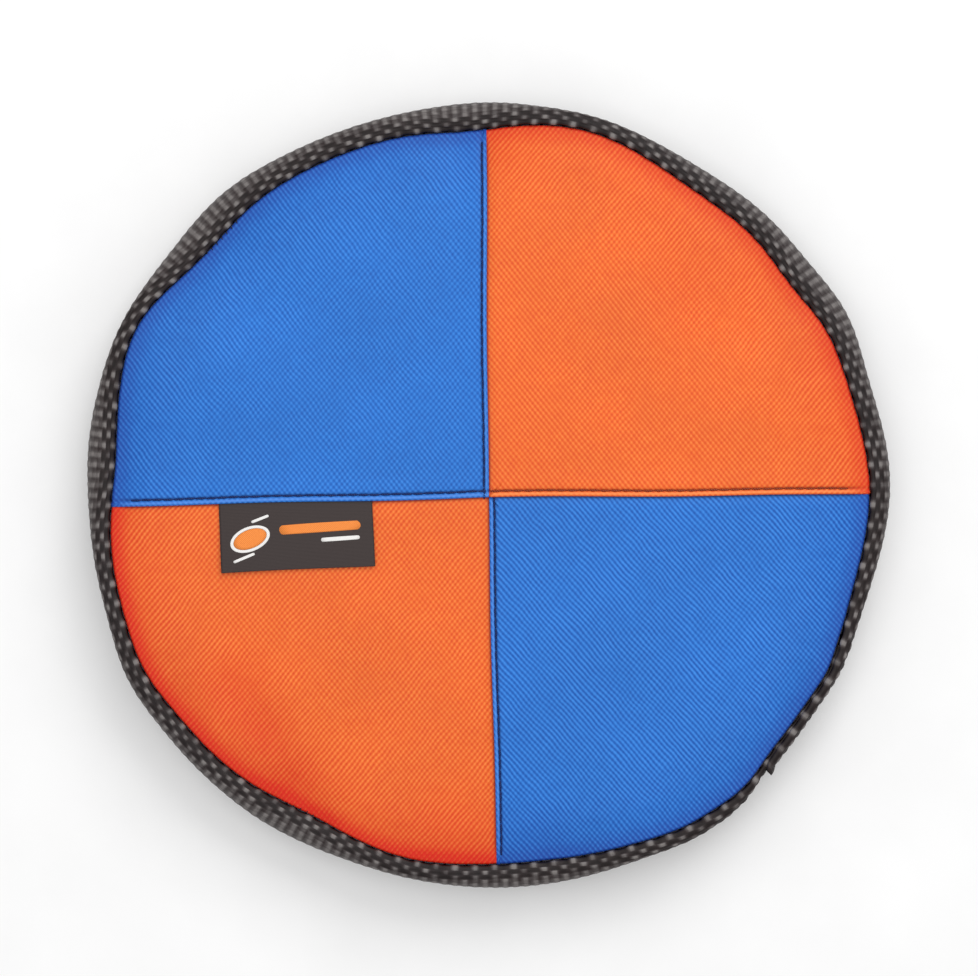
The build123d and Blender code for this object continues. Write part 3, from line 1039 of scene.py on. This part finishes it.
def allowance_overlock(material):
    """Thread wound over the raw lower edges of the panels and the lining."""
    samples = 10
    turn = np.arange(OVERLOCK_LOOPS * samples + 1) / samples
    angle = FULL_TURN * turn / OVERLOCK_LOOPS
    radius = panel_edge(angle) + OVERLOCK_MIDDLE[0] + OVERLOCK_REACH[0] * np.cos(FULL_TURN * turn)
    z = SKIRT_END + OVERLOCK_MIDDLE[1] + OVERLOCK_REACH[1] * np.sin(FULL_TURN * turn)
    thread = tube(around(radius, angle, z), OVERLOCK_RADIUS, sides=5)
    return joined_object("allowance_overlock", [thread], material)


def bar_tacks(material):
    """Upright rows of zigzag stitches that hold the strap's cut end down."""
    low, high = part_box("webbing_join_stitches")
    count = 49
    height = np.linspace(low.z, high.z, count)
    zigzag = 0.55 * np.where(np.arange(count) % 2, 1.0, -1.0)
    along = np.linspace(0, 0.85 * STRAP_WIDTH, 200)
    parts = []
    for place in TACK_PLACES:
        radius, level = strap_sections(
            np.radians([place]), np.zeros(1), along, STRAP_THICKNESS / 2 + RELIEF + 0.05 * MM
        )
        distance = np.interp(height, level[0], radius[0])
        parts.append(tube(around(distance, np.radians(place + zigzag), height), TACK_THREAD_RADIUS, sides=5))
    return joined_object("bar_tacks", parts, material)


# ---- padding and lining

def disc_plan(inset, rings, spokes):
    """Angles, shares and points of a round sheet, ring by ring, up to inside the panels' edge."""
    angle = np.arange(spokes) * FULL_TURN / spokes
    share = np.linspace(0, 1, rings + 1)[1:, None]
    radius = share * (panel_edge(angle) - inset)
    return angle, share, radius * np.cos(angle), radius * np.sin(angle)


def fan(ring_start, spokes, centre):
    """Triangles between a ring of points and a middle one, facing down."""
    return [[centre, ring_start + (k + 1) % spokes, ring_start + k] for k in range(spokes)]


def lining(material):
    """Black sheet beneath the padding, with its edge turned down beside the panels' allowance."""
    rings, spokes = 60, 240
    angle, share, x, y = disc_plan(LINING_INSET, rings, spokes)
    z = surface(x, y) - LINING_DEPTH
    z += 0.12 * MM * np.sin(x / (9 * MM)) * np.cos(y / (11 * MM)) * share
    turn = np.radians((18, 36, 54, 72, 90, 90, 90))[:, None]
    hem = np.array((0, 0, 0, 0, 0, 0.5, 1.0))[:, None]
    radius = panel_edge(angle) - LINING_INSET + LINING_ROLL * np.sin(turn)
    low = (z[-1] - LINING_ROLL * (1 - np.cos(turn))) * (1 - hem) + (SKIRT_END + 0.1 * MM) * hem
    points = np.concatenate((np.stack((x, y, z), axis=2), around(radius, angle, low)))
    fall = np.maximum(z[-1] - points[:, :, 2], 0) / MM
    fall[:rings] = 0
    cloth = points / MM + around(fall, angle, -points[:, :, 2] / MM)
    middle = [[0.0, 0.0, float(surface(0.0, 0.0)) - LINING_DEPTH]]
    faces = grid_faces(len(points), spokes, closed_columns=True).tolist()
    points = np.concatenate((points.reshape(-1, 3), middle))
    faces += fan(0, spokes, len(points) - 1)
    values = {"cloth": np.concatenate((cloth.reshape(-1, 3), [[0.0, 0.0, 0.0]]))}
    return make_object("lining", points, faces, material, values, LINING_THICKNESS)


def padding_sheet(material):
    """Thin foam between the panels and the lining: a closed form with rounded edges."""
    rings, spokes = 50, 180
    _, share, x, y = disc_plan(PADDING_INSET, rings, spokes)
    seam_room = PADDING_GAP * bell(np.minimum(np.abs(x), np.abs(y)), 6 * MM)
    top = surface(x, y) - FABRIC - PADDING_GAP - seam_room
    round_off = PADDING_THICKNESS * smooth(0.965, 1.0, share) ** 2 * 0.45
    lower = np.stack((x, y, top - PADDING_THICKNESS + round_off), axis=2)
    upper = np.stack((x, y, top - round_off), axis=2)
    middles = [[0.0, 0.0, layer[0, :, 2].mean()] for layer in (lower, upper)]
    points = np.concatenate((lower, upper[::-1])).reshape(-1, 3)
    count = len(points)
    faces = grid_faces(2 * rings, spokes, closed_columns=True).tolist()
    faces += fan(0, spokes, count)
    faces += [face[::-1] for face in fan(count - spokes, spokes, count + 1)]
    points = np.concatenate((points, middles))
    return make_object("padding_sheet", points, faces, material, {"cloth": points / MM})


# ---- label

def label_place(u, v, height):
    """Point of the label: u from left to right and v from the seam to the hem, both 0 to 1."""
    weights = np.stack(((1 - u) * (1 - v), u * (1 - v), u * v, (1 - u) * v), axis=-1)
    x, y = hand_drawn(*np.moveaxis(weights @ np.array(LABEL_CORNERS) * MM, -1, 0))
    rise = LABEL_LIFT * smooth(0.1, 1.0, v) * (0.75 + 0.25 * np.cos(FULL_TURN * 0.8 * u))
    rest = surface(x, y) - UNDER_DROP * (1 - smooth(0.0, 0.15, v))
    return np.stack((x, y, rest + rise + height), axis=-1)


def woven_label(material):
    """Woven tag folded double: its fold is the free edge, and both ends are in the seam."""
    hem = 0.985  # the fold takes up the rest of the length
    top_v = np.linspace(-0.07, hem, 40)
    bottom_v = np.linspace(hem, -0.05, 24)
    turn = np.radians(np.linspace(75, -75, 6))
    place_v = np.concatenate((top_v, hem + (1 - hem) * np.cos(turn), bottom_v))
    fold = LABEL_DOUBLE / 2 * (1 + np.sin(turn))
    level = np.concatenate((np.full(len(top_v), LABEL_DOUBLE), fold, np.zeros(len(bottom_v))))
    level = level * (0.35 + 0.65 * smooth(0.0, 0.3, place_v)) + LABEL_CLEARANCE
    u, v = np.meshgrid(np.linspace(0, 1, 70), place_v)
    points = label_place(u, v, level[:, None]).reshape(-1, 3)
    faces = grid_faces(*u.shape)[:, ::-1]
    width, length = LABEL_SIZE
    beneath = 2 * length * (level[:, None] < LABEL_DOUBLE)
    cloth = np.stack((u * width, v * length + beneath, 0 * u), axis=2).reshape(-1, 3)
    return make_object("woven_label", points, faces, material, {"cloth": cloth}, LABEL_LAYER)


def label_mark(name, material, shapes):
    """Raised areas of the label: each shape has a middle, an outline and an inner outline."""
    parts = []
    inwards = np.array((0.0, 0.35, 0.7, 1.0))[:, None, None]
    for middle, outer, inner in shapes:
        plan = inner * (1 - inwards) + outer * inwards + np.array(middle)
        u, v = plan[..., 0] / LABEL_SIZE[0], plan[..., 1] / LABEL_SIZE[1]
        high = label_place(u, v, LABEL_DOUBLE + LABEL_CLEARANCE + MARK_HEIGHT)
        low = high - np.array((0, 0, 0.10 * MM))
        points = np.concatenate((low[:1], high, low[-1:])).reshape(-1, 3)
        cloth = np.concatenate((plan[:1], plan, plan[-1:])).reshape(-1, 2)
        cloth = np.column_stack((cloth, np.zeros(len(cloth))))
        faces = grid_faces(len(plan) + 2, len(MARK_TURN), closed_rows=True, closed_columns=True)
        first, kept = welded(points, faces)
        parts.append((points[first], kept, {"cloth": cloth[first]}))
    return joined_object(name, parts, material)


def ellipse(half_length, half_height, tilt):
    """Outline of a tilted ellipse, in millimetres."""
    x, y = half_length * np.cos(MARK_TURN), half_height * np.sin(MARK_TURN)
    return np.stack(rotated(x, y, math.radians(tilt)), axis=1)


def bar(half_length, half_height, tilt):
    """Outline of a tilted bar with rounded ends, in millimetres."""
    across = np.cos(MARK_TURN)
    x = (half_length - half_height) * np.clip(3 * across, -1, 1) + half_height * across
    return np.stack(rotated(x, half_height * np.sin(MARK_TURN), math.radians(tilt)), axis=1)


def label_marks():
    """Plain mark in place of a maker's: a disc with an outline, two strokes and two bars."""
    disc, tilt = (9.0, 10.6), -20
    orange = (
        (disc, ellipse(5.2, 2.8, tilt), 0.0),
        ((30.0, 7.6), bar(12.2, 1.5, -3), 0.0),
    )
    white = (
        (disc, ellipse(6.2, 3.7, tilt), ellipse(5.25, 2.85, tilt)),
        ((7.0, 16.2), bar(3.4, 0.42, tilt), 0.0),
        ((12.2, 4.6), bar(2.8, 0.42, tilt), 0.0),
        ((36.0, 11.2), bar(5.8, 0.65, -3), 0.0),
    )
    orange_yarn = label_yarn("label_orange_yarn", (0.60, 0.12, 0.02), (1.0, 0.33, 0.06))
    white_yarn = label_yarn("label_white_yarn", (0.62, 0.60, 0.58), (0.95, 0.94, 0.92))
    return (
        label_mark("label_mark_orange", orange_yarn, orange),
        label_mark("label_mark_white", white_yarn, white),
    )


# ---- floor, light and camera

def studio():
    """Pale floor, white surroundings and two soft lights that look at the disc."""
    corners = [(x * FLOOR_REACH, y * FLOOR_REACH, 0) for x, y in ((-1, -1), (1, -1), (1, 1), (-1, 1))]
    make_object("floor", corners, [[0, 1, 2, 3]], floor_paint())
    world = bpy.data.worlds.new("studio")
    bpy.context.scene.world = world
    world.use_nodes = True
    background = world.node_tree.nodes["Background"]
    background.inputs["Color"].default_value = (1, 1, 1, 1)
    background.inputs["Strength"].default_value = WORLD_LIGHT
    for name, place, extent, power in SOFTBOXES:
        light = bpy.data.lights.new(name, "AREA")
        light.shape = "SQUARE"
        light.size = extent
        light.energy = power
        lamp = linked(name, light)
        lamp.location = place
        lamp.rotation_mode = "QUATERNION"
        lamp.rotation_quaternion = (-Vector(place)).to_track_quat("-Z", "Y")


def camera():
    """Straight above the disc, with the rear at the top of the picture."""
    data = bpy.data.cameras.new("camera")
    data.lens = 100
    data.sensor_width = 36
    data.clip_start = 0.05
    lens = linked("camera", data)
    low, high = CAD_BOX
    middle = (low + high) / 2
    distance = WIDTH_SEEN * (high.y - low.y) * data.lens / data.sensor_width
    lens.location = (middle.x + VIEW_SHIFT[0], middle.y + VIEW_SHIFT[1], FOCUS_HEIGHT + distance)
    bpy.context.scene.camera = lens
    bpy.context.scene.view_settings.view_transform = "Standard"


# ---- assembly

def bend_over_fold(piece):
    """Bakes a piece's transform into its mesh."""
    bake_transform(piece)


def assemble():
    thread = sewing_thread("black_thread", (0.004, 0.004, 0.007), (0.022, 0.022, 0.034))
    navy = sewing_thread("navy_thread", (0.001, 0.006, 0.055), (0.006, 0.026, 0.150))
    rust = sewing_thread("rust_thread", (0.120, 0.012, 0.003), (0.340, 0.048, 0.012))
    cloths = {"blue": blue_fabric(), "orange": orange_fabric()}
    for name, (node, seams, weave) in PANELS.items():
        colour = name.split("_")[1]
        panel = Quadrant(*seams).build(name, cloths[colour], *weave)
        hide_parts(node)
        bend_over_fold(panel)

    inner = lining(lining_fabric())
    pad = padding_sheet(padding_foam())
    crossing = {
        inner: ("lining_fabric", "lining_left", "lining_right"),
        pad: ("padding_sheet", "padding_left", "padding_right"),
        rim_webbing(black_webbing()): ("black_webbing", "rim_webbing_left", "rim_webbing_right"),
        seam_thread("left_seam_thread", navy, [("left", 0.0)]): ("thread", "cross_seam_thread_left"),
        seam_thread("right_seam_thread", rust, [("right", 0.5)]): ("thread", "cross_seam_thread_right"),
        seam_thread("spine_seam_thread", navy, [("rear", -0.4), ("front", 0.3)]): (
            "thread", "spine_seam_thread_rear", "spine_seam_thread_front",
        ),
        rim_seam_thread(thread): ("thread", "rim_seam_thread_left", "rim_seam_thread_right"),
        allowance_overlock(thread): ("thread", "allowance_overlock_left", "allowance_overlock_right"),
    }
    for piece, (slot, *nodes) in crossing.items():
        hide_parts(*nodes)
        bend_over_fold(piece)

    tacks = bar_tacks(thread)
    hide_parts("webbing_join_stitches")
    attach(tacks, "right_half")

    tag = woven_label(label_satin())
    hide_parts("label")
    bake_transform(tag)
    for piece in label_marks():
        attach(piece, "label")


camera()
studio()
assemble()
